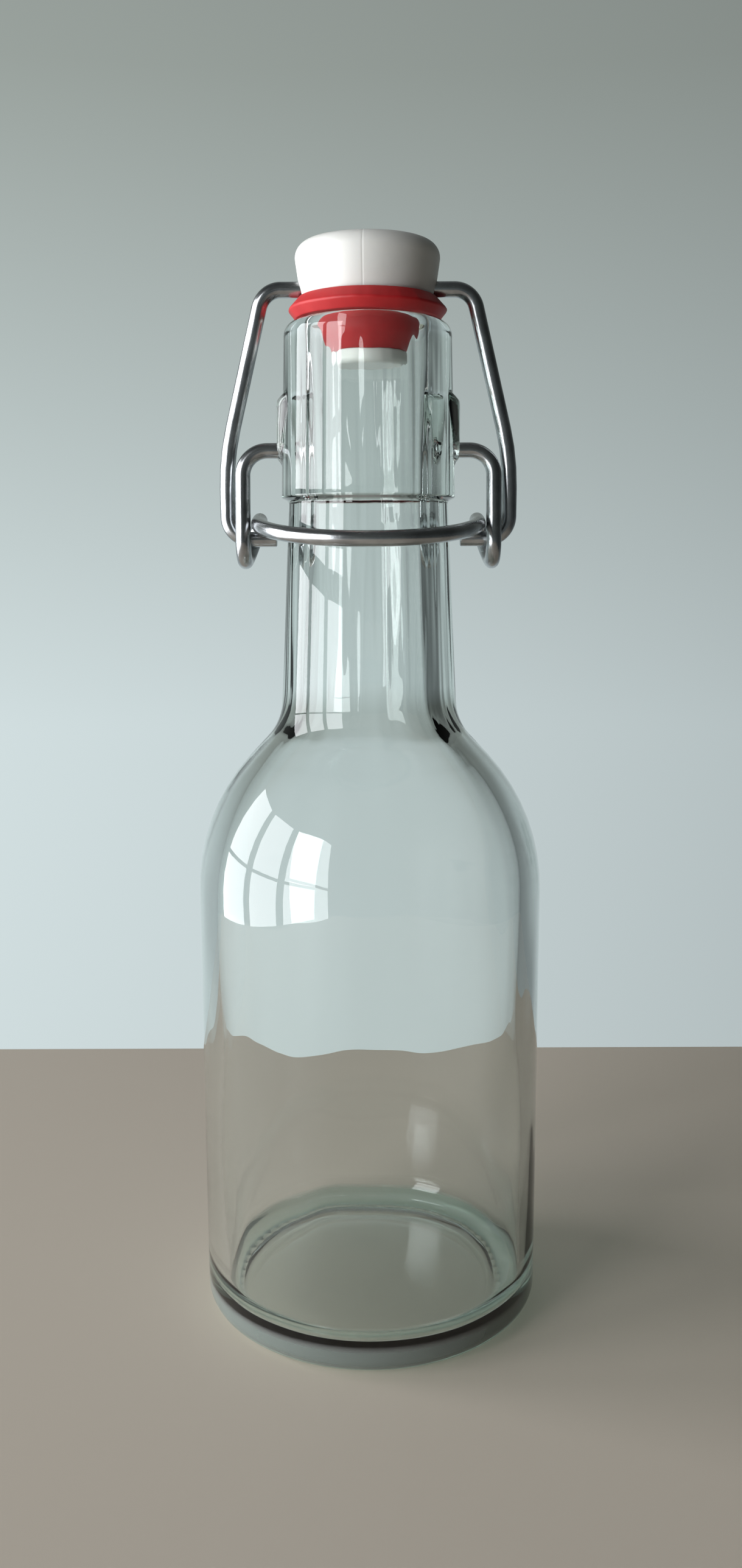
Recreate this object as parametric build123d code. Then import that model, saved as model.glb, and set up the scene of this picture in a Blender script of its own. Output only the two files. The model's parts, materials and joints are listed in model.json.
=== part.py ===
"""Small swing-top glass bottle: glass, stopper, gasket, bail wire and lever wire.

Frame: origin at the centre of the base, +Z up along the bottle's axis, the lever's bow towards -Y,
the two lugs at +X and -X. Millimetres. The closure is modelled locked.
"""
import math
import os
from build123d import *

# ---- glass bottle ----
BODY_R = 29.0            # outside radius of the body
BODY_H = 86.8            # base to the corner where body and shoulder lines meet
WALL = 2.7               # body and shoulder wall
SHOULDER_TILT = 43.0     # slope of the shoulder line, degrees from vertical
SHOULDER_R = 33.0        # convex rounding from body into shoulder
FINISH_TOP_R = 13.45     # outside radius at the rim
FINISH_DRAFT = 0.7       # how much wider the finish is at its lower edge
FINISH_H = 28.1          # height of the thick moulded mouth
FOOT_SLOPE = 0.5         # rise of the finish's underside
FOOT_ROUND = 0.5         # rounding of the step under the finish
RIM_OUTER_ROUND = 2.4
RIM_INNER_ROUND = 1.2
NECK_STEP = 1.15         # neck in from the finish's lower edge
NECK_SPREAD = 1.7        # how much wider the neck is at its foot
NECK_FLARE = 9.0         # concave rounding from shoulder into neck
NECK_H = 36.07           # neck corner to the underside of the finish
BORE_R = 9.3             # mouth bore
BORE_SPREAD = 0.9        # how much wider the bore is at the foot of the neck
HEEL_R = 3.0             # rounding between base and body
BEARING_W = 5.0          # body's side in to the inner edge of the ring that the bottle stands on
PUNT_H = 2.6             # rise of the base's hollow at its centre
FLOOR_T = 3.2            # glass over the bearing ring
FLOOR_DOME = 2.6         # rise of the inside floor at its centre
INNER_HEEL_R = 4.5       # inside rounding between floor and wall

# ---- lugs moulded on the finish ----
LUG_PROUD = 0.75         # lug's face beyond the finish's lower edge
LUG_DEPTH = 3.4          # lug's face down to its root, inside the glass
LUG_HALF_W = 6.8         # half width at the root, near the top
LUG_FOOT_HALF_W = 2.6    # half width at the root, at the lower end
LUG_RISE = 9.7           # hole centre up to the root's top
LUG_EDGE = 0.5           # face left below the hole
LUG_TAPER = 28.0         # draft of the lug's sides, degrees
LUG_TOP_ROUND = 3.2
LUG_FOOT_ROUND = 2.4
HINGE_DROP = 20.0        # rim down to the lug hole's centre
HOLE_DEPTH = 3.1         # depth of the blind lug hole

# ---- wires ----
WIRE_D = 2.5             # both wires
HINGE_GAP = 0.08         # radial running clearance of a wire in its hole
END_GAP = 0.5            # wire end to the bottom of its hole
BOW_SIDE_GAP = 1.75      # lug's face to the lever wire beside it
WIRE_PASS = 0.2          # side gap where the bail arm passes the lever leg
COIL_GAP = 0.05          # side gap where the lever wire crosses itself
LEVER_THROW = 14.2       # lug hole to the bail's hooks
OVER_CENTRE = 6.0        # degrees by which the locked lever is past dead centre
EYE_PLAY = 1.15          # radial play of the bail's hook in the lever's eye
LEG_BEND = 4.0           # centreline bend from the lug hole into the leg
BOW_GAP = 3.25           # neck to the bow's inside, at the front
BOW_DROP = 14.3          # hinge down to the bow's front
BOW_FULLNESS = 0.96      # corner bend of the bow as a share of its half width
EYE_FULLNESS = 0.97      # corner bend of the eye as a share of its radius
SHOULDER_BEND = 3.6      # centreline bends of the bail
ARM_BEND = 40.0
HOOK_BEND = 3.6
ARM_TOP_GAP = 2.0        # rim to the bail's inside, at the stopper
ARM_STRAIGHT = 13.0      # hooks up to where the arms start to converge
HOOK_END_GAP = 0.95      # finish's lower edge to the hooks' inner ends

# ---- stopper and gasket ----
HEAD_LEDGE = 2.57        # gasket's rim in to the head's foot
HEAD_FLARE = 0.75        # how much the head widens from its foot to its waist
HEAD_TOP_FLARE = 0.85    # and from its waist to its top
HEAD_H = 8.8
HEAD_WAIST_H = 2.9       # underside up to the waist
HEAD_WAIST_ROUND = 8.0
HEAD_TOP_ROUND = 2.4
CROSS_GAP = 0.15         # gasket's lip up to the bail's cross-run
STEM_R = 4.4
TIP_OVERLAP = 1.3        # tip wider than the stem, to hold the gasket
TIP_H = 2.2
TIP_ROUND = 0.9
SEAT_GAP = 0.25          # gasket clear of the glass rim
GASKET_T = 2.95          # seat face up to the head's underside
GASKET_FLARE = 1.27      # how far the flange's rim stands out from the seat face
GASKET_RIM_H = 1.45      # seat face up to the rim
GASKET_RIM_ROUND = 0.45
LIP_H = 0.35             # height of the lip around the head's foot
LIP_GAP = 0.45           # lip clear of the head's foot
LIP_W = 0.3
LIP_ROUND = 0.12
EDGE_ROUND = 0.3         # small rounding of moulded plastic and rubber edges
SEAT_LAP = 0.55          # seat face beyond the rim's flat top
PLUG_GAP = 0.6           # plug clear of the bore, at the seat face
PLUG_TAPER = 1.0         # how much narrower the plug is at its waist
PLUG_WAIST_H = 2.75      # seat face down to where the plug starts to draw in
PLUG_WAIST_ROUND = 3.0
PLUG_FOOT_T = 1.2        # rubber round the stem at the plug's lower end
PLUG_H = 5.25            # seat face down to the plug's lower end

# ---- worked-out places ----
tilt = math.radians(SHOULDER_TILT)
half_tilt_tan = math.tan(tilt / 2)
finish_foot_r = FINISH_TOP_R + FINISH_DRAFT
neck_top_r = finish_foot_r - NECK_STEP
neck_root_r = neck_top_r + NECK_SPREAD
neck_bore_r = BORE_R + BORE_SPREAD
rim_w = FINISH_TOP_R - BORE_R
rim_outer_round = min(RIM_OUTER_ROUND, 0.6 * rim_w)
rim_inner_round = min(RIM_INNER_ROUND, 0.3 * rim_w)
neck_root_z = BODY_H + (BODY_R - neck_root_r) / math.tan(tilt)
finish_z = neck_root_z + NECK_H
rim_z = finish_z + FINISH_H
hinge_z = rim_z - HINGE_DROP
over = math.radians(OVER_CENTRE)
pin_y = LEVER_THROW * math.sin(over)
pin_z = hinge_z - LEVER_THROW * math.cos(over)
seat_z = rim_z + SEAT_GAP
head_z = seat_z + GASKET_T
plug_z = seat_z - PLUG_H
wire_r = WIRE_D / 2
hole_r = wire_r + HINGE_GAP
cross_z = head_z + LIP_H + CROSS_GAP + wire_r
lug_r = finish_foot_r + LUG_PROUD
bow_x = lug_r + BOW_SIDE_GAP + wire_r
leg_x = bow_x + WIRE_D + COIL_GAP
arm_x = leg_x + WIRE_D + WIRE_PASS
arm_top_x = FINISH_TOP_R + ARM_TOP_GAP + wire_r
eye_r = WIRE_D + EYE_PLAY
seat_r = FINISH_TOP_R - rim_outer_round + SEAT_LAP
gasket_rim_r = seat_r + GASKET_FLARE
head_base_r = gasket_rim_r - HEAD_LEDGE
head_waist_r = head_base_r + HEAD_FLARE
head_top_r = head_waist_r + HEAD_TOP_FLARE


def turned(corners):
    """Revolve a closed outline of (radius, height, corner rounding) about the bottle's axis."""
    points = [(r, z) for r, z, _ in corners]
    rounds = [rounding for _, _, rounding in corners]
    outline = FilletPolyline(*points, radius=rounds, close=True)
    return revolve(Plane.XZ * make_face(outline), Axis.Z)


def bent_wire(points, bends):
    """Round wire along straight runs joined by tangent bends."""
    path = FilletPolyline(*points, radius=bends)
    section = Plane(origin=path @ 0, z_dir=path % 0) * Circle(wire_r)
    return sweep(section, path=path)


def mirrored(points):
    """The same points seen in the plane x = 0, in reverse order."""
    return [(-x, y, z) for x, y, z in reversed(points)]


def dished(run, rise):
    """Rounding that turns a slope of this run and rise smoothly level."""
    return 0.8 * run / math.tan(math.atan(rise / run) / 2)


def glass_outline():
    """The bottle's wall, from the base's hollow up the outside and down the inside."""
    inner_r = BODY_R - WALL
    inner_corner_z = BODY_H - WALL * half_tilt_tan
    inner_neck_z = inner_corner_z + (inner_r - neck_bore_r) / math.tan(tilt)
    slope = (BODY_R - neck_root_r) / math.sin(tilt)
    shoulder_round = min(SHOULDER_R, 0.7 * slope / half_tilt_tan)
    bearing_r = BODY_R - BEARING_W
    return [
        (0, PUNT_H, 0),
        (bearing_r / 2, PUNT_H, dished(bearing_r / 2, PUNT_H)),
        (bearing_r, 0, HEEL_R),
        (BODY_R, 0, HEEL_R),
        (BODY_R, BODY_H, shoulder_round),
        (neck_root_r, neck_root_z, NECK_FLARE),
        (neck_top_r, finish_z, FOOT_ROUND),
        (finish_foot_r, finish_z + FOOT_SLOPE, FOOT_ROUND),
        (FINISH_TOP_R, rim_z, rim_outer_round),
        (BORE_R, rim_z, rim_inner_round),
        (BORE_R, finish_z, 0),
        (neck_bore_r, inner_neck_z, NECK_FLARE + WALL),
        (inner_r, inner_corner_z, shoulder_round - WALL),
        (inner_r, FLOOR_T, INNER_HEEL_R),
        (inner_r / 3, FLOOR_T + FLOOR_DOME, dished(inner_r / 3, FLOOR_DOME)),
        (0, FLOOR_T + FLOOR_DOME, 0),
    ]


def lug():
    """Shield-shaped pad on the +X side: wide and round at the top, narrow about the hole."""
    root_x = lug_r - LUG_DEPTH
    top = hinge_z + LUG_RISE
    foot = hinge_z - hole_r - LUG_EDGE - LUG_DEPTH * math.tan(math.radians(LUG_TAPER))
    outline = FilletPolyline(
        (-LUG_HALF_W, top),
        (LUG_HALF_W, top),
        (LUG_FOOT_HALF_W, foot),
        (-LUG_FOOT_HALF_W, foot),
        radius=[LUG_TOP_ROUND, LUG_TOP_ROUND, LUG_FOOT_ROUND, LUG_FOOT_ROUND],
        close=True,
    )
    root = Plane(origin=(root_x, 0, 0), x_dir=(0, 1, 0), z_dir=(1, 0, 0))
    pad = extrude(root * make_face(outline), amount=LUG_DEPTH + 0.5, taper=LUG_TAPER)
    face = Pos(0, 0, rim_z - FINISH_H / 2) * Cylinder(lug_r, FINISH_H)
    return pad & face


def make_bottle():
    glass = turned(glass_outline())
    pad = lug()
    glass = glass + pad + mirror(pad, Plane.YZ)
    hole = Cylinder(hole_r, HOLE_DEPTH * 2)
    for side in (1, -1):
        glass = glass - Pos(side * lug_r, 0, hinge_z) * Rot(0, 90, 0) * hole
    return glass


def make_stopper():
    tip_r = STEM_R + TIP_OVERLAP
    body = turned([
        (0, plug_z - TIP_H, 0),
        (tip_r, plug_z - TIP_H, TIP_ROUND),
        (tip_r, plug_z, EDGE_ROUND),
        (STEM_R, plug_z, 0),
        (STEM_R, head_z, 0),
        (head_base_r, head_z, EDGE_ROUND),
        (head_waist_r, head_z + HEAD_WAIST_H, HEAD_WAIST_ROUND),
        (head_top_r, head_z + HEAD_H, HEAD_TOP_ROUND),
        (0, head_z + HEAD_H, 0),
    ])
    hole = Cylinder(hole_r, head_top_r * 3)
    return body - Pos(0, 0, cross_z) * Rot(0, 90, 0) * hole


def make_gasket():
    lip_r = head_base_r + LIP_GAP
    plug_r = BORE_R - PLUG_GAP
    return turned([
        (STEM_R, plug_z, 0),
        (STEM_R + PLUG_FOOT_T, plug_z, EDGE_ROUND),
        (plug_r - PLUG_TAPER, seat_z - PLUG_WAIST_H, PLUG_WAIST_ROUND),
        (plug_r, seat_z, EDGE_ROUND),
        (seat_r, seat_z, EDGE_ROUND),
        (gasket_rim_r, seat_z + GASKET_RIM_H, GASKET_RIM_ROUND),
        (lip_r + LIP_W, head_z + LIP_H, LIP_ROUND),
        (lip_r, head_z + LIP_H, LIP_ROUND),
        (lip_r, head_z, 0),
        (STEM_R, head_z, 0),
    ])


def make_bail():
    """Cross-run through the stopper, two spreading arms and two hooks turned in through the eyes."""
    knee_y = pin_y * (1 - ARM_STRAIGHT / (cross_z - pin_z))
    half = [
        (arm_top_x, 0, cross_z),
        (arm_x, knee_y, pin_z + ARM_STRAIGHT),
        (arm_x, pin_y, pin_z),
        (finish_foot_r + HOOK_END_GAP, pin_y, pin_z),
    ]
    bends = [SHOULDER_BEND, ARM_BEND, HOOK_BEND]
    return bent_wire(mirrored(half) + half, bends[::-1] + bends)


def make_lever():
    """Ends in the lug holes, legs down, an eye round each hook, and the bow across the front."""
    start_x = lug_r - HOLE_DEPTH + END_GAP
    bow_y = -(neck_top_r + BOW_GAP + wire_r)
    bow_bend = BOW_FULLNESS * bow_x
    half = [
        (start_x, 0, hinge_z),
        (leg_x, 0, hinge_z),
        (leg_x, pin_y - eye_r, pin_z - eye_r),
        (leg_x - COIL_GAP, pin_y + eye_r, pin_z - eye_r),
        (bow_x, pin_y + eye_r, pin_z + eye_r),
        (bow_x, bow_y, hinge_z - BOW_DROP),
    ]
    eye_bend = EYE_FULLNESS * eye_r
    bends = [LEG_BEND, eye_bend, eye_bend, eye_bend, bow_bend]
    return bent_wire(half + mirrored(half), bends + bends[::-1])


os.makedirs("parts", exist_ok=True)
for name, make in (
    ("bottle", make_bottle),
    ("stopper", make_stopper),
    ("gasket", make_gasket),
    ("bail_wire", make_bail),
    ("lever_wire", make_lever),
):
    solid = make()
    export_step(solid, f"parts/{name}.step")
print(f"hinge z {hinge_z:.3f}, pin y {pin_y:.3f} z {pin_z:.3f}, cross z {cross_z:.3f}, rim z {rim_z:.3f}")
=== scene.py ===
"""Looks for a small swing-top bottle: clear glass, white stopper, red gasket and two steel wires.

Blender 4.5, metres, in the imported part's frame: +Z up the bottle's axis, the lever's bow towards -Y.
"""
import json
import math

import bpy
from mathutils import Matrix, Vector, noise


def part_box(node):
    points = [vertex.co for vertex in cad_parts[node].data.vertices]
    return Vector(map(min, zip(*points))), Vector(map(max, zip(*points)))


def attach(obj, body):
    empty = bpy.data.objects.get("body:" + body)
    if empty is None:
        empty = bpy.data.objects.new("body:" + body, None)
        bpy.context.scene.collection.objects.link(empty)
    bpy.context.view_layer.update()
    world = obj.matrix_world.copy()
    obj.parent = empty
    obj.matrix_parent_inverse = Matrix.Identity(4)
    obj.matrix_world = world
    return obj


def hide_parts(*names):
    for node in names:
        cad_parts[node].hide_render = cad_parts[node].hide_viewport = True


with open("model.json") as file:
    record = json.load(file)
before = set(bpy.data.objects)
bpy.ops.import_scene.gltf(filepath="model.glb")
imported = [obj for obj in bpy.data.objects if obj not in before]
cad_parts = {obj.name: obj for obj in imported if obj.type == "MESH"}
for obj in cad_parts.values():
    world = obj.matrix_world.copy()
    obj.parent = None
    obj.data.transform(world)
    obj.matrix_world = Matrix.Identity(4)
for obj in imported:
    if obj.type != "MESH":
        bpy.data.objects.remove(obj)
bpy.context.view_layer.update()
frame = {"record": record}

MM = 0.001

# ---- places and sizes from the frame ----
joints = {joint["name"]: Vector(joint["pos_m"]) for joint in frame["record"]["behaviour"]["joints"]}
hinge = joints["lever_pivot"]
hook = joints["bail_pivot"]
cross = joints["stopper_pivot"]
_, bottle_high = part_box("bottle")
gasket_low, gasket_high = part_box("gasket")
stopper_low, stopper_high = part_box("stopper")
_, bail_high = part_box("bail_wire")
lever_low, lever_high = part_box("lever_wire")

BODY_R = bottle_high[0]
RIM_Z = bottle_high[2]
WIRE_R = 1.25 * MM
ARM_X = bail_high[0] - WIRE_R
LEG_X = lever_high[0] - WIRE_R

# ---- glass, the CAD model's own sizes ----
BODY_H = 86.8 * MM
WALL = 2.7 * MM
SHOULDER_TILT = math.radians(43)
SHOULDER_R = 33 * MM
NECK_ROOT_R = 14.7 * MM
NECK_TOP_R = 13.0 * MM
NECK_FLARE = 9 * MM
FINISH_H = 28.1 * MM
FINISH_FOOT_R = 14.15 * MM
FINISH_TOP_R = 13.45 * MM
BORE_R = 9.3 * MM
NECK_BORE_R = 10.2 * MM
HEEL_R = 3 * MM
BEARING_R = 24 * MM
PUNT_H = 2.6 * MM
FLOOR_T = 3.2 * MM
FLOOR_DOME = 2.6 * MM
INNER_HEEL_R = 4.5 * MM
KNURL_R = 25.2 * MM
KNURL_W = 0.7 * MM
KNURL_DEPTH = 0.3 * MM
KNURL_COUNT = 60

# ---- where the glass gets painted light, a pale tint standing in for light carried through it: (clear at, full at) ----
FOOT_PAINTED_LIGHT_Z = (5.4 * MM, 4.2 * MM)
FOOT_PAINTED_LIGHT_R = (23.5 * MM, 26 * MM)
LUG_PAINTED_LIGHT_Z = (139.5 * MM, 141 * MM)
LUG_PAINTED_LIGHT_R = (14.0 * MM, 14.4 * MM)
LUG_PAINTED_LIGHT = 0.6
LUG_R = 14.9 * MM
FINISH_Z = RIM_Z - FINISH_H


# ---------------------------------------------------------------- mesh helpers

def rounded(points, radii, run_step, turn_step, closed=False):
    """Points along straight runs joined by tangent arcs, spaced by run_step and turn_step."""
    points = [Vector(p) for p in points]
    count = len(points)
    path = []

    def add(point):
        if not path or (path[-1] - point).length > 1e-7:
            path.append(point)

    def add_run(start, end):
        steps = max(1, math.ceil((end - start).length / run_step))
        for k in range(steps + 1):
            add(start.lerp(end, k / steps))

    corners = []
    for i, corner in enumerate(points):
        radius = radii[i]
        if radius <= 0:
            corners.append([corner])
            continue
        before = (points[i - 1] - corner).normalized()
        after = (points[(i + 1) % count] - corner).normalized()
        half = before.angle(after) / 2
        reach = radius / math.tan(half)
        centre = corner + (before + after).normalized() * radius / math.sin(half)
        start = corner + before * reach
        end = corner + after * reach
        turn = math.pi - 2 * half
        steps = max(2, math.ceil(turn / turn_step))
        spoke = start - centre
        side = (end - centre - spoke * math.cos(turn)) / math.sin(turn)
        arc = [
            centre + spoke * math.cos(turn * k / steps) + side * math.sin(turn * k / steps)
            for k in range(steps + 1)
        ]
        corners.append(arc)
    for i, arc in enumerate(corners):
        if i:
            add_run(corners[i - 1][-1], arc[0])
        for point in arc:
            add(point)
    if closed:
        add_run(corners[-1][-1], corners[0][0])
    return path


def new_object(name, vertices, faces):
    mesh = bpy.data.meshes.new(name)
    mesh.from_pydata(vertices, [], faces)
    mesh.update()
    mesh.shade_smooth()
    piece = bpy.data.objects.new(name, mesh)
    bpy.context.scene.collection.objects.link(piece)
    return piece


def lathe(name, outline, angles, shape=None):
    """Turned closed mesh. outline is (radius, height) points; shape(r, angle, z, k) may move a point."""
    vertices = []
    rings = []
    for k, (radius, z) in enumerate(outline):
        if radius < 1e-6:
            rings.append([len(vertices)] * len(angles))
            vertices.append((0, 0, z))
            continue
        ring = []
        for angle in angles:
            r, height = (radius, z) if shape is None else shape(radius, angle, z, k)
            ring.append(len(vertices))
            vertices.append((r * math.cos(angle), r * math.sin(angle), height))
        rings.append(ring)
    faces = []
    count = len(angles)
    ring_pairs = list(zip(rings, rings[1:]))
    if outline[0][0] > 1e-6:
        ring_pairs.append((rings[-1], rings[0]))
    for low, high in ring_pairs:
        for i in range(count):
            j = (i + 1) % count
            corners = [low[i], low[j], high[j], high[i]]
            face = [v for n, v in enumerate(corners) if v not in corners[:n]]
            if len(face) > 2:
                faces.append(face)
    return new_object(name, vertices, faces)


def tube(name, path, radius, sides=28, end_round=0.25 * MM):
    """Solid wire along path, with slightly rounded ends and a UV map: U round it, V along it."""
    tangents = []
    for i, point in enumerate(path):
        before = path[max(i - 1, 0)]
        after = path[min(i + 1, len(path) - 1)]
        tangents.append((after - before).normalized())
    normal = tangents[0].orthogonal().normalized()
    lengths = [0.0]
    for a, b in zip(path, path[1:]):
        lengths.append(lengths[-1] + (b - a).length)
    sections = []
    for i, point in enumerate(path):
        if i:
            normal = tangents[i - 1].rotation_difference(tangents[i]) @ normal
        sections.append((point, tangents[i], normal.copy(), radius, lengths[i]))
    head = []
    tail = []
    for k in range(1, 4):
        turn = math.pi / 2 * k / 4
        inset = radius - end_round + end_round * math.cos(turn)
        push = end_round * math.sin(turn)
        head.append((path[0] - tangents[0] * push, tangents[0], sections[0][2], inset, -push))
        tail.append((path[-1] + tangents[-1] * push, tangents[-1], sections[-1][2], inset,
                     lengths[-1] + push))
    sections = head[::-1] + sections + tail
    vertices = []
    for centre, tangent, across, size, _ in sections:
        other = tangent.cross(across)
        for s in range(sides):
            turn = 2 * math.pi * s / sides
            vertices.append(centre + (across * math.cos(turn) + other * math.sin(turn)) * size)
    faces = []
    for k in range(len(sections) - 1):
        for s in range(sides):
            t = (s + 1) % sides
            faces.append((k * sides + s, k * sides + t, (k + 1) * sides + t, (k + 1) * sides + s))
    last = (len(sections) - 1) * sides
    faces.append(tuple(range(sides - 1, -1, -1)))
    faces.append(tuple(range(last, last + sides)))
    piece = new_object(name, vertices, faces)
    uv = piece.data.uv_layers.new(name="along")
    for face in piece.data.polygons:
        wraps = any(piece.data.loops[i].vertex_index % sides == sides - 1 for i in face.loop_indices)
        for i in face.loop_indices:
            vertex = piece.data.loops[i].vertex_index
            turn = (vertex % sides) / sides
            if wraps and turn == 0:
                turn = 1.0
            uv.data[i].uv = (turn, sections[vertex // sides][4] / (2 * math.pi * radius))
    return piece


# ---------------------------------------------------------------- materials

def material(name):
    made = bpy.data.materials.new(name)
    made.use_nodes = True
    nodes = made.node_tree.nodes
    links = made.node_tree.links
    return made, nodes, links, nodes["Principled BSDF"]


def faded(nodes, links, source, clear_at, full_at):
    """0 where source is at clear_at, rising to 1 at full_at."""
    node = nodes.new("ShaderNodeMapRange")
    node.inputs["From Min"].default_value = clear_at
    node.inputs["From Max"].default_value = full_at
    links.new(source, node.inputs[0])
    return node.outputs[0]


def maths(nodes, links, operation, first, second):
    node = nodes.new("ShaderNodeMath")
    node.operation = operation
    node.use_clamp = True
    for source, socket in ((first, node.inputs[0]), (second, node.inputs[1])):
        if isinstance(source, float):
            socket.default_value = source
        else:
            links.new(source, socket)
    return node.outputs[0]


def painted_light_mask(nodes, links):
    """Painted light mask: 1 on the foot's outer edge and less on the lugs, 0 elsewhere; a pale tint there
    stands in for light carried through the glass.
    """
    coords = nodes.new("ShaderNodeTexCoord")
    split = nodes.new("ShaderNodeSeparateXYZ")
    links.new(coords.outputs["Object"], split.inputs[0])
    flat = nodes.new("ShaderNodeVectorMath")
    flat.operation = "MULTIPLY"
    flat.inputs[1].default_value = (1, 1, 0)
    links.new(coords.outputs["Object"], flat.inputs[0])
    length = nodes.new("ShaderNodeVectorMath")
    length.operation = "LENGTH"
    links.new(flat.outputs[0], length.inputs[0])
    height, reach = split.outputs["Z"], length.outputs["Value"]
    low = faded(nodes, links, height, *FOOT_PAINTED_LIGHT_Z)
    foot = maths(nodes, links, "MULTIPLY", low, faded(nodes, links, reach, *FOOT_PAINTED_LIGHT_R))
    high = faded(nodes, links, height, *LUG_PAINTED_LIGHT_Z)
    lug = maths(nodes, links, "MULTIPLY", high, faded(nodes, links, reach, *LUG_PAINTED_LIGHT_R))
    return maths(nodes, links, "ADD", foot, maths(nodes, links, "MULTIPLY", lug, LUG_PAINTED_LIGHT))


def glass_material():
    made, nodes, links, shader = material("clear_glass")
    # painted light: the foot's outer edge and the lugs turn partly diffuse and pale greenish, standing in
    # for light carried through the glass
    painted_light_amount = painted_light_mask(nodes, links)
    tint = ramp_node(nodes, [(0, (0.985, 0.995, 0.99)), (1, (0.60, 0.70, 0.65))])
    links.new(painted_light_amount, tint.inputs[0])
    links.new(tint.outputs[0], shader.inputs["Base Color"])
    clearness = nodes.new("ShaderNodeMapRange")
    clearness.inputs["To Min"].default_value = 1.0
    clearness.inputs["To Max"].default_value = 0.68
    links.new(painted_light_amount, clearness.inputs[0])
    links.new(clearness.outputs[0], shader.inputs["Transmission Weight"])
    shader.inputs["Roughness"].default_value = 0.0
    shader.inputs["IOR"].default_value = 1.52
    output = nodes["Material Output"]
    clear = nodes.new("ShaderNodeBsdfTransparent")
    clear.inputs["Color"].default_value = (0.52, 0.54, 0.53, 1)
    path = nodes.new("ShaderNodeLightPath")
    mix = nodes.new("ShaderNodeMixShader")
    links.new(path.outputs["Is Shadow Ray"], mix.inputs[0])
    links.new(shader.outputs[0], mix.inputs[1])
    links.new(clear.outputs[0], mix.inputs[2])
    links.new(mix.outputs[0], output.inputs["Surface"])
    absorb = nodes.new("ShaderNodeVolumeAbsorption")
    absorb.inputs["Color"].default_value = (0.52, 0.78, 0.68, 1)
    absorb.inputs["Density"].default_value = 18.0
    links.new(absorb.outputs[0], output.inputs["Volume"])
    return made


def plastic_material():
    made, nodes, links, shader = material("stopper_plastic")
    coords = nodes.new("ShaderNodeTexCoord")
    cloud = nodes.new("ShaderNodeTexNoise")
    cloud.inputs["Scale"].default_value = 260
    cloud.inputs["Detail"].default_value = 5
    links.new(coords.outputs["Object"], cloud.inputs["Vector"])
    tint = nodes.new("ShaderNodeValToRGB")
    tint.color_ramp.elements[0].color = (0.66, 0.655, 0.62, 1)
    tint.color_ramp.elements[1].color = (0.74, 0.735, 0.71, 1)
    links.new(cloud.outputs[0], tint.inputs[0])
    links.new(tint.outputs[0], shader.inputs["Base Color"])
    rough = nodes.new("ShaderNodeMapRange")
    rough.inputs["To Min"].default_value = 0.36
    rough.inputs["To Max"].default_value = 0.48
    links.new(cloud.outputs[0], rough.inputs[0])
    links.new(rough.outputs[0], shader.inputs["Roughness"])
    grain = nodes.new("ShaderNodeTexNoise")
    grain.inputs["Scale"].default_value = 2600
    grain.inputs["Detail"].default_value = 2
    links.new(coords.outputs["Object"], grain.inputs["Vector"])
    bump = nodes.new("ShaderNodeBump")
    bump.inputs["Strength"].default_value = 0.12
    bump.inputs["Distance"].default_value = 0.00005
    links.new(grain.outputs[0], bump.inputs["Height"])
    links.new(bump.outputs[0], shader.inputs["Normal"])
    shader.inputs["Subsurface Weight"].default_value = 0.15
    shader.inputs["Subsurface Radius"].default_value = (0.002, 0.0018, 0.0014)
    shader.inputs["Subsurface Scale"].default_value = 1.0
    return made


def rubber_material():
    made, nodes, links, shader = material("gasket_rubber")
    coords = nodes.new("ShaderNodeTexCoord")
    cloud = nodes.new("ShaderNodeTexNoise")
    cloud.inputs["Scale"].default_value = 420
    cloud.inputs["Detail"].default_value = 6
    links.new(coords.outputs["Object"], cloud.inputs["Vector"])
    tint = nodes.new("ShaderNodeValToRGB")
    tint.color_ramp.elements[0].color = (0.36, 0.008, 0.011, 1)
    tint.color_ramp.elements[1].color = (0.52, 0.015, 0.018, 1)
    links.new(cloud.outputs[0], tint.inputs[0])
    links.new(tint.outputs[0], shader.inputs["Base Color"])
    rough = nodes.new("ShaderNodeMapRange")
    rough.inputs["To Min"].default_value = 0.42
    rough.inputs["To Max"].default_value = 0.6
    links.new(cloud.outputs[0], rough.inputs[0])
    links.new(rough.outputs[0], shader.inputs["Roughness"])
    bump = nodes.new("ShaderNodeBump")
    bump.inputs["Strength"].default_value = 0.2
    bump.inputs["Distance"].default_value = 0.0001
    links.new(cloud.outputs[0], bump.inputs["Height"])
    links.new(bump.outputs[0], shader.inputs["Normal"])
    return made


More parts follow.
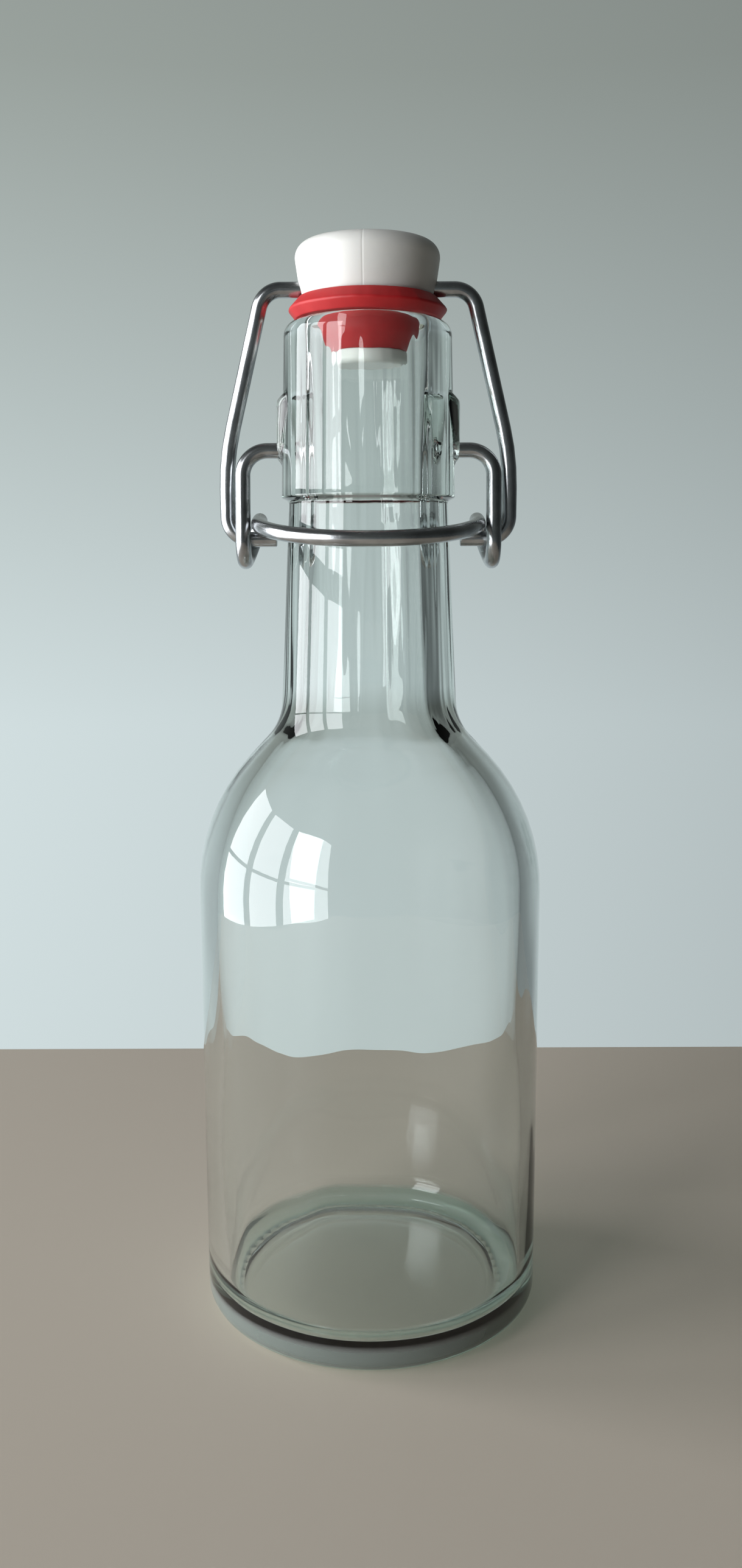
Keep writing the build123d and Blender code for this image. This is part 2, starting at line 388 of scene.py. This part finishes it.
def steel_material():
    """Drawn spring wire: fine streaks along it and a few dull patches."""
    made, nodes, links, shader = material("drawn_steel")
    shader.inputs["Metallic"].default_value = 1.0
    uv = nodes.new("ShaderNodeUVMap")
    uv.uv_map = "along"
    stretch = nodes.new("ShaderNodeMapping")
    stretch.inputs["Scale"].default_value = (30, 0.7, 1)
    links.new(uv.outputs[0], stretch.inputs["Vector"])
    streaks = nodes.new("ShaderNodeTexNoise")
    streaks.inputs["Scale"].default_value = 1.6
    streaks.inputs["Detail"].default_value = 6
    streaks.inputs["Roughness"].default_value = 0.65
    links.new(stretch.outputs[0], streaks.inputs["Vector"])
    coords = nodes.new("ShaderNodeTexCoord")
    patches = nodes.new("ShaderNodeTexNoise")
    patches.inputs["Scale"].default_value = 240
    patches.inputs["Detail"].default_value = 5
    links.new(coords.outputs["Object"], patches.inputs["Vector"])
    tint = nodes.new("ShaderNodeValToRGB")
    tint.color_ramp.elements[0].position = 0.3
    tint.color_ramp.elements[0].color = (0.33, 0.34, 0.355, 1)
    tint.color_ramp.elements[1].position = 0.62
    tint.color_ramp.elements[1].color = (0.56, 0.575, 0.59, 1)
    links.new(patches.outputs[0], tint.inputs[0])
    links.new(tint.outputs[0], shader.inputs["Base Color"])
    rough = nodes.new("ShaderNodeMapRange")
    rough.inputs["From Min"].default_value = 0.3
    rough.inputs["From Max"].default_value = 0.7
    rough.inputs["To Min"].default_value = 0.16
    rough.inputs["To Max"].default_value = 0.3
    links.new(streaks.outputs[0], rough.inputs[0])
    links.new(rough.outputs[0], shader.inputs["Roughness"])
    bump = nodes.new("ShaderNodeBump")
    bump.inputs["Strength"].default_value = 0.22
    bump.inputs["Distance"].default_value = 0.00006
    links.new(streaks.outputs[0], bump.inputs["Height"])
    links.new(bump.outputs[0], shader.inputs["Normal"])
    return made


# ---------------------------------------------------------------- glass bottle

def dished(run, rise):
    """Rounding that turns a slope of this run and rise smoothly level."""
    return 0.8 * run / math.tan(math.atan(rise / run) / 2)


def glass_outline():
    """Outside from the base's hollow up to the rim, then the inside down to the floor."""
    half_tan = math.tan(SHOULDER_TILT / 2)
    full_tan = math.tan(SHOULDER_TILT)
    neck_root_z = BODY_H + (BODY_R - NECK_ROOT_R) / full_tan
    inner_r = BODY_R - WALL
    inner_corner_z = BODY_H - WALL * half_tan
    inner_neck_z = inner_corner_z + (inner_r - NECK_BORE_R) / full_tan
    corners = [
        (0, PUNT_H, 0),
        (BEARING_R / 2, PUNT_H, dished(BEARING_R / 2, PUNT_H)),
        (BEARING_R, 0, HEEL_R),
        (BODY_R, 0, HEEL_R),
        (BODY_R, BODY_H, SHOULDER_R),
        (NECK_ROOT_R, neck_root_z, NECK_FLARE),
        (NECK_TOP_R, FINISH_Z, 0.5 * MM),
        (FINISH_FOOT_R, FINISH_Z + 0.5 * MM, 0.5 * MM),
        (FINISH_TOP_R, RIM_Z, 2.4 * MM),
        (BORE_R, RIM_Z, 1.2 * MM),
        (BORE_R, FINISH_Z, 40 * MM),
        (NECK_BORE_R, inner_neck_z, NECK_FLARE + WALL),
        (inner_r, inner_corner_z, SHOULDER_R - WALL),
        (inner_r, FLOOR_T, INNER_HEEL_R),
        (inner_r / 3, FLOOR_T + FLOOR_DOME, dished(inner_r / 3, FLOOR_DOME)),
        (0, FLOOR_T + FLOOR_DOME, 0),
    ]
    points = [(r, 0, z) for r, z, _ in corners]
    radii = [radius for _, _, radius in corners]
    path = rounded(points, radii, run_step=0.6 * MM, turn_step=math.radians(6))
    return [(p.x, p.z) for p in path]


LUG_ROOT_X = LUG_R - 3.4 * MM
LUG_TAN = math.tan(math.radians(28))
LUG_TOP_W = 6.8 * MM
LUG_FOOT_W = 2.6 * MM
LUG_RISE = 9.7 * MM
LUG_FALL = 3.64 * MM
LUG_SOFT = 0.9 * MM      # how far the lug's outline corners are softened
LUG_RIPPLE = 0.12 * MM   # how far its cast surface is uneven, always inwards
LUG_RIPPLE_W = 1.7 * MM
HOLE_R = 1.33 * MM
HOLE_FLOOR_X = LUG_R - 3.1 * MM


def soft_min(values, softness):
    """Smooth minimum, so that the outline's corners are round."""
    return -softness * math.log(sum(math.exp(-v / softness) for v in values))


def lug_surface(y, z):
    """Distance of the lug's surface from the plane x = 0, at (y, z)."""
    rise = z - hinge.z
    lean = (LUG_TOP_W - LUG_FOOT_W) / (LUG_RISE + LUG_FALL)
    side_w = LUG_FOOT_W + (rise + LUG_FALL) * lean
    side = (side_w - abs(y)) / math.hypot(1, lean)
    inside = soft_min([side, LUG_RISE - rise, rise + LUG_FALL], LUG_SOFT)
    flank = LUG_ROOT_X + inside / LUG_TAN
    face = math.sqrt(max(LUG_R ** 2 - y ** 2, 1e-9))
    return soft_min([flank, face], 0.25 * MM)


def bump_at(distance, width, height):
    return height * math.exp(-(distance / width) ** 2)


def glass_shape(rim_index):
    """Outside: lugs, blind holes, a vent bead and a knurled foot. Inside: the uneven wall of blown glass."""
    def shape(radius, angle, z, k):
        if k < rim_index:
            return outside(radius, angle, z), z + knurl(radius, angle, z)
        return inside(radius, angle, z), z
    return shape


def knurl(radius, angle, z):
    """Shallow dimples pressed up into the ring that the bottle stands on."""
    if z > 0.3 * MM or radius < BEARING_R:
        return 0
    across = bump_at(radius - KNURL_R, KNURL_W, KNURL_DEPTH)
    return across * max(0, math.cos(KNURL_COUNT * angle))


def outside(radius, angle, z):
    side = abs(math.cos(angle))
    across = math.sin(angle)
    r = radius
    if FINISH_Z + 1 * MM < z < RIM_Z - 2 * MM and side > 0.7:
        for _ in range(3):
            reach = lug_surface(r * across, z) / side
            r = max(radius, reach)
        y = r * across
        ripple = noise.noise(Vector((r * math.cos(angle), y, z)) / LUG_RIPPLE_W)
        r = max(radius, r - LUG_RIPPLE * (0.5 + 0.5 * ripple))
        if math.hypot(y, z - hinge.z) < HOLE_R:
            r = HOLE_FLOOR_X / side
    front = r * math.cos(angle + math.pi / 2)
    if across < 0 and z < RIM_Z:
        bead = math.hypot(front + 1.3 * MM, z - (FINISH_Z - 0.9 * MM))
        r += bump_at(bead, 0.9 * MM, 0.35 * MM)
    return r


def inside(radius, angle, z):
    if radius < BORE_R * 0.98:
        return radius
    at = Vector((math.cos(angle), math.sin(angle), 0))
    neck = 1 - min(max((radius - NECK_BORE_R) / (5 * MM), 0), 1)
    fade = min(max((RIM_Z - 1.5 * MM - z) / (4 * MM), 0), 1)
    streak = noise.noise(Vector((at.x * 4.5, at.y * 4.5, z / (24 * MM))))
    fine = noise.noise(Vector((at.x * 11, at.y * 11, z / (30 * MM) + 7)))
    broad = noise.noise(Vector((at.x * 1.6 + 3, at.y * 1.6, z / (26 * MM))))
    swell = neck * (0.22 * streak + 0.07 * fine) + (1 - neck) * (0.45 * broad + 0.09 * streak)
    return radius + fade * swell * MM


def glass_angles():
    """Angles round the bottle: fine by the lugs at +X and -X, coarser elsewhere."""
    degrees = []
    degree = 0.0
    while degree < 180 - 1e-6:
        degrees.append(degree)
        degree += 1.0 if min(degree, 180 - degree) < 33 else 1.5
    return [math.radians(d + half) for half in (0, 180) for d in degrees]


def thinned(outline):
    """The outline with fewer points on its straight runs, but not beside the lugs."""
    kept = [outline[0]]
    for point, after in zip(outline[1:], outline[2:]):
        here, last = Vector(point), Vector(kept[-1])
        turn = (here - last).angle(Vector(after) - here, 0)
        by_lug = point[0] > FINISH_TOP_R and -5 * MM < point[1] - hinge.z < 11 * MM
        if by_lug or turn > math.radians(2) or (here - last).length > 1.4 * MM:
            kept.append(point)
    return kept + [outline[-1]]


def make_bottle(finish):
    outline = thinned(glass_outline())
    rim_index = max(range(len(outline)), key=lambda k: (outline[k][1], outline[k][0]))
    bottle = lathe("bottle_glass", outline, glass_angles(), glass_shape(rim_index))
    bottle.data.materials.append(finish)
    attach(bottle, "bottle")
    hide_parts("bottle")
    return bottle


# ---------------------------------------------------------------- stopper and gasket

SEAT_Z = RIM_Z + 0.25 * MM
LIP_H = 0.35 * MM
HEAD_Z = gasket_high[2] - LIP_H
PLUG_Z = gasket_low[2]
STEM_R = 4.4 * MM
HEAD_BASE_R = 10.3 * MM
HEAD_TOP_R = 11.9 * MM
even_angles = [math.radians(a * 2) for a in range(180)]


def outline_of(corners, run_step=0.5 * MM, turn_step=math.radians(9), closed=False):
    points = [(r, 0, z) for r, z, _ in corners]
    radii = [radius for _, _, radius in corners]
    path = rounded(points, radii, run_step, turn_step, closed)
    return [(p.x, p.z) for p in path]


def make_stopper(finish):
    top_z = stopper_high[2]
    tip_r = 5.7 * MM
    corners = [
        (0, stopper_low[2], 0),
        (tip_r, stopper_low[2], 0.9 * MM),
        (tip_r, PLUG_Z, 0.3 * MM),
        (STEM_R, PLUG_Z, 0),
        (STEM_R, HEAD_Z, 0),
        (HEAD_BASE_R, HEAD_Z, 0.3 * MM),
        (11.05 * MM, HEAD_Z + 2.9 * MM, 8 * MM),
        (HEAD_TOP_R, top_z, 2.4 * MM),
        (0, top_z, 0),
    ]
    seam_angle = math.radians(-94)

    def shape(radius, angle, z, k):
        """A fine parting groove down the front and the back of the head."""
        if z < HEAD_Z + 0.3 * MM or radius < 9 * MM:
            return radius, z
        off = min(abs(math.remainder(angle - seam_angle - turn, 2 * math.pi)) for turn in (0, math.pi))
        return radius - bump_at(off * radius, 0.13 * MM, 0.035 * MM), z

    angles = sorted(even_angles + [
        (base + math.radians(d)) % (2 * math.pi)
        for base in (seam_angle, seam_angle + math.pi)
        for d in (-1.7, -1.3, -0.9, -0.5, 0.1, 0.5, 0.9, 1.3, 1.7)
    ])
    stopper = lathe("stopper_plastic", outline_of(corners), angles, shape)
    stopper.data.materials.append(finish)
    hole = tube("cross_hole", [Vector((-14 * MM, 0, cross.z)), Vector((14 * MM, 0, cross.z))],
                1.33 * MM, sides=48)
    cut = stopper.modifiers.new("cross_hole", "BOOLEAN")
    cut.object = hole
    cut.solver = "EXACT"
    apply_modifiers(stopper)
    bpy.data.objects.remove(hole)
    keep_sharp(stopper, 35)
    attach(stopper, "closure")
    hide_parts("stopper")
    return stopper


def apply_modifiers(piece):
    graph = bpy.context.evaluated_depsgraph_get()
    mesh = bpy.data.meshes.new_from_object(piece.evaluated_get(graph))
    piece.modifiers.clear()
    piece.data = mesh


def keep_sharp(piece, degrees):
    """Smooth shading, but creases sharper than this stay crisp."""
    piece.data.shade_smooth()
    piece.data.set_sharp_from_angle(angle=math.radians(degrees))


def make_gasket(finish):
    lip_r = HEAD_BASE_R + 0.45 * MM
    corners = [
        (STEM_R, PLUG_Z, 0),
        (5.6 * MM, PLUG_Z, 0.3 * MM),
        (7.7 * MM, SEAT_Z - 2.75 * MM, 3 * MM),
        (8.7 * MM, SEAT_Z, 0.3 * MM),
        (11.6 * MM, SEAT_Z, 0.3 * MM),
        (12.82 * MM, SEAT_Z + 1.45 * MM, 0.4 * MM),
        (lip_r + 0.3 * MM, gasket_high[2], 0.12 * MM),
        (lip_r, gasket_high[2], 0.12 * MM),
        (lip_r, HEAD_Z, 0),
        (STEM_R, HEAD_Z, 0),
    ]

    def shape(radius, angle, z, k):
        """Trimmed rim and lip are a little uneven."""
        rim = min(max((radius - 10.7 * MM) / (1.8 * MM), 0), 1)
        at = Vector((math.cos(angle), math.sin(angle), 0))
        wave = noise.noise(at * 2.2) * 0.6 + noise.noise(at * 9) * 0.4
        return radius + rim * (wave - 0.35) * 0.12 * MM, z + rim * wave * 0.1 * MM

    gasket = lathe("gasket_rubber", outline_of(corners, closed=True), even_angles, shape)
    gasket.data.materials.append(finish)
    keep_sharp(gasket, 50)
    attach(gasket, "closure")
    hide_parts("gasket")
    return gasket


# ---------------------------------------------------------------- wires

def both_sides(half):
    return [(-x, y, z) for x, y, z in reversed(half)]


def make_bail(finish):
    knee_z = hook.z + 13 * MM
    knee_y = hook.y * (cross.z - knee_z) / (cross.z - hook.z)
    half = [
        (16.7 * MM, 0, cross.z),
        (ARM_X, knee_y, knee_z),
        (ARM_X, hook.y, hook.z),
        (15.1 * MM, hook.y, hook.z),
    ]
    bends = [3.6 * MM, 40 * MM, 3.6 * MM, 0]
    path = rounded(both_sides(half) + half, bends[::-1] + bends, 0.8 * MM, math.radians(5))
    bail = tube("bail_steel", trimmed(path), WIRE_R)
    bail.data.materials.append(finish)
    keep_sharp(bail, 50)
    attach(bail, "bail")
    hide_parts("bail_wire")
    return bail


def trimmed(path, length=0.25 * MM):
    """The path with its ends drawn back, to leave room for the rounded ends."""
    path = [p.copy() for p in path]
    path[0] += (path[1] - path[0]).normalized() * length
    path[-1] += (path[-2] - path[-1]).normalized() * length
    return path


def make_lever(finish):
    coil_gap = 0.05 * MM
    bow_x = LEG_X - 2 * WIRE_R - coil_gap
    eye_r = 3.65 * MM
    bow_y = lever_low[1] + WIRE_R
    bow_z = hinge.z - 14.3 * MM
    half = [
        (LUG_R - 2.6 * MM, 0, hinge.z),
        (LEG_X, 0, hinge.z),
        (LEG_X, hook.y - eye_r, hook.z - eye_r),
        (LEG_X - coil_gap, hook.y + eye_r, hook.z - eye_r),
        (bow_x, hook.y + eye_r, hook.z + eye_r),
        (bow_x, bow_y, bow_z),
    ]
    eye_bend = 0.97 * eye_r
    bends = [0, 4 * MM, eye_bend, eye_bend, eye_bend, 0.96 * bow_x]
    path = rounded(half + both_sides(half), bends + bends[::-1], 0.8 * MM, math.radians(5))
    lever = tube("lever_steel", trimmed(path), WIRE_R)
    lever.data.materials.append(finish)
    keep_sharp(lever, 50)
    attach(lever, "lever")
    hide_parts("lever_wire")
    return lever


# ---------------------------------------------------------------- studio

FLOOR_BACK = 116 * MM
FLOOR_TOP = -0.05 * MM


def make_floor():
    """Plain pale table top; its far edge is a little behind the bottle."""
    low, high = (-0.28, -0.6, -0.03), (0.28, FLOOR_BACK, FLOOR_TOP)
    corners = [(x, y, z) for z in (low[2], high[2]) for y in (low[1], high[1]) for x in (low[0], high[0])]
    faces = [(0, 2, 3, 1), (4, 5, 7, 6), (0, 1, 5, 4), (2, 6, 7, 3), (0, 4, 6, 2), (1, 3, 7, 5)]
    floor = new_object("floor", corners, faces)
    floor.data.shade_flat()
    made, _, _, shader = material("pale_floor")
    shader.inputs["Base Color"].default_value = (0.62, 0.545, 0.46, 1)
    shader.inputs["Roughness"].default_value = 0.6
    floor.data.materials.append(made)


def make_light(name, place, aim, width, height, power, colour, through_glass):
    data = bpy.data.lights.new(name, "AREA")
    data.shape = "RECTANGLE"
    data.size = width
    data.size_y = height
    data.energy = power
    data.color = colour
    light = bpy.data.objects.new(name, data)
    bpy.context.scene.collection.objects.link(light)
    light.visible_transmission = through_glass
    light.location = place
    light.rotation_euler = (Vector(aim) - Vector(place)).to_track_quat("-Z", "Y").to_euler()


def ramp_node(nodes, stops):
    node = nodes.new("ShaderNodeValToRGB")
    points = node.color_ramp.elements
    points[0].position, points[0].color = stops[0][0], (*stops[0][1], 1)
    points[1].position, points[1].color = stops[-1][0], (*stops[-1][1], 1)
    for position, colour in stops[1:-1]:
        point = points.new(position)
        point.color = (*colour, 1)
    return node


def make_world():
    """A pale wall behind the bottle, darker overhead, to the right and on the viewer's side."""
    world = bpy.data.worlds.new("studio")
    bpy.context.scene.world = world
    world.use_nodes = True
    nodes = world.node_tree.nodes
    links = world.node_tree.links
    coords = nodes.new("ShaderNodeTexCoord")
    split = nodes.new("ShaderNodeSeparateXYZ")
    links.new(coords.outputs["Generated"], split.inputs[0])

    def ramp(output, stops):
        lift = nodes.new("ShaderNodeMapRange")
        lift.inputs["From Min"].default_value = -1
        lift.inputs["From Max"].default_value = 1
        links.new(split.outputs[output], lift.inputs[0])
        node = ramp_node(nodes, stops)
        links.new(lift.outputs[0], node.inputs[0])
        return node

    height = ramp("Z", [
        (0.30, (0.56, 0.64, 0.65)),
        (0.44, (0.56, 0.64, 0.65)),
        (0.55, (0.42, 0.48, 0.475)),
        (0.66, (0.29, 0.325, 0.305)),
        (1.00, (0.15, 0.16, 0.16)),
    ])
    depth = ramp("Y", [(0.0, (0.22,) * 3), (0.5, (0.42,) * 3), (0.85, (0.9,) * 3), (1.0, (1.0,) * 3)])
    side = ramp("X", [
        (0.0, (0.75,) * 3),
        (0.2, (0.8,) * 3),
        (0.36, (1.16,) * 3),
        (0.64, (0.84,) * 3),
        (0.8, (0.4,) * 3),
        (1.0, (0.18,) * 3),
    ])
    product = height.outputs[0]
    for factor in (depth, side):
        mix = nodes.new("ShaderNodeMix")
        mix.data_type = "RGBA"
        mix.blend_type = "MULTIPLY"
        mix.inputs["Factor"].default_value = 1.0
        links.new(product, mix.inputs["A"])
        links.new(factor.outputs[0], mix.inputs["B"])
        product = mix.outputs["Result"]
    links.new(product, nodes["Background"].inputs["Color"])
    nodes["Background"].inputs["Strength"].default_value = 1.0


def make_window():
    """Three tall softboxes round the left side, each of two panes, as a window would light it.

    Only the front one shows through the glass, so that the bottle isn't burnt out from the right.
    """
    distance = 1.1
    pane_w = 0.42
    for turn in (46, 73, 100):
        angle = math.radians(turn)
        x, y = -distance * math.sin(angle), -distance * math.cos(angle)
        for name, low, high in (("lower", -0.45, 0.18), ("upper", 0.21, 0.80)):
            z = (low + high) / 2
            power = 7 * math.pi * pane_w * (high - low)
            make_light(f"pane_{name}_{turn}", (x, y, z), (0, 0, z), pane_w, high - low, power,
                       (0.96, 0.98, 1.0), through_glass=turn < 60)


def make_camera():
    data = bpy.data.cameras.new("camera")
    camera = bpy.data.objects.new("camera", data)
    bpy.context.scene.collection.objects.link(camera)
    data.sensor_fit = "VERTICAL"
    data.sensor_height = 36
    data.lens = 30.47
    data.clip_start = 0.01
    camera.matrix_world = (
        Matrix.Translation((0.27 * MM, -221.9 * MM, 129.1 * MM))
        @ Matrix.Rotation(math.radians(90 - 9.67), 4, "X")
        @ Matrix.Rotation(math.radians(-0.2), 4, "Z")
    )
    bpy.context.scene.camera = camera


bpy.context.scene.view_settings.view_transform = "Standard"
make_camera()
make_world()
make_floor()
make_window()
make_bottle(glass_material())
make_stopper(plastic_material())
make_gasket(rubber_material())
steel = steel_material()
make_bail(steel)
make_lever(steel)
